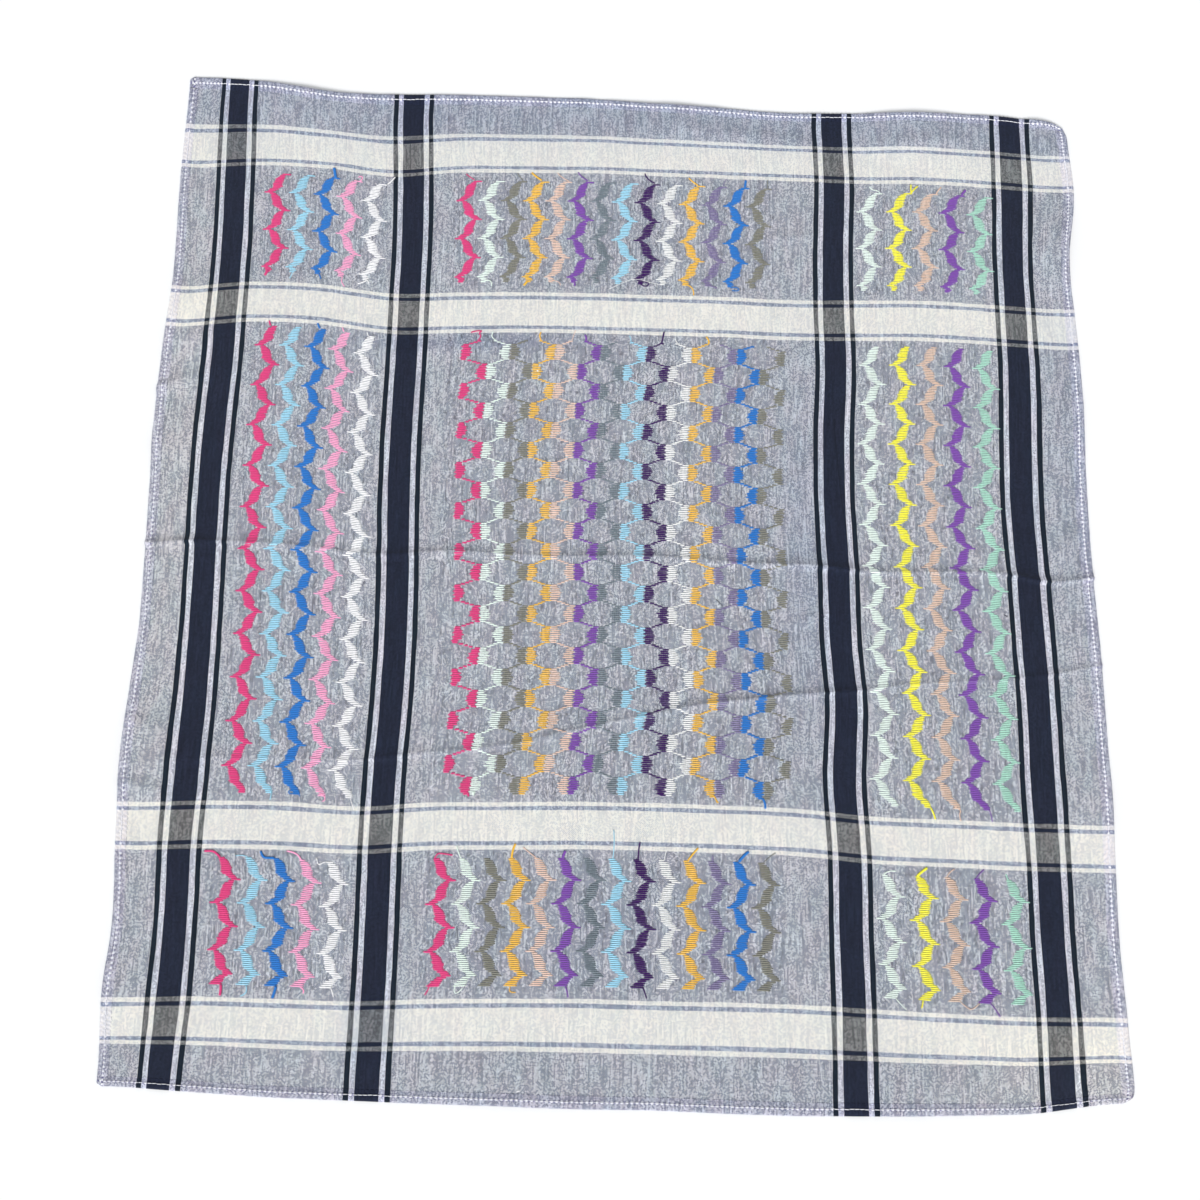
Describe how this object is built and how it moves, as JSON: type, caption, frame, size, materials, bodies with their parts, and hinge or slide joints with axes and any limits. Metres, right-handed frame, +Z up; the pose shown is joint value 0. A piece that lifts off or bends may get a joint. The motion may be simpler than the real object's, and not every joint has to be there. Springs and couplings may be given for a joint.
{
  "type": "bandana laid flat",
  "caption": "Square woven cotton bandana laid flat, with dark warp stripes, pale weft bands, coloured zigzag inlay threads and narrow stitched hems.",
  "frame": {"origin": "middle of the cloth's outline, on the surface that it lies on", "axes": "+X across the warp stripes to the right, +Y along the warp stripes to the upper edge, +Z up off the surface"},
  "size_m": [0.5448, 0.5951, 0.0045],
  "materials": {
    "panel_cloth": "plain-woven chambray cotton, matt, with navy warp stripes and white weft bands",
    "hem_cloth": "the same cotton turned under twice, matt",
    "inlay_thread": "soft untwisted cotton inlay threads in many colours, faint sheen",
    "sewing_thread": "pale polyester sewing thread, faint sheen"
  },
  "bodies": {
    "root": {"panel": "panel_cloth", "hem_top": "hem_cloth", "hem_bottom": "hem_cloth", "hem_left": "hem_cloth", "hem_right": "hem_cloth"}
  },
  "joints": []
}
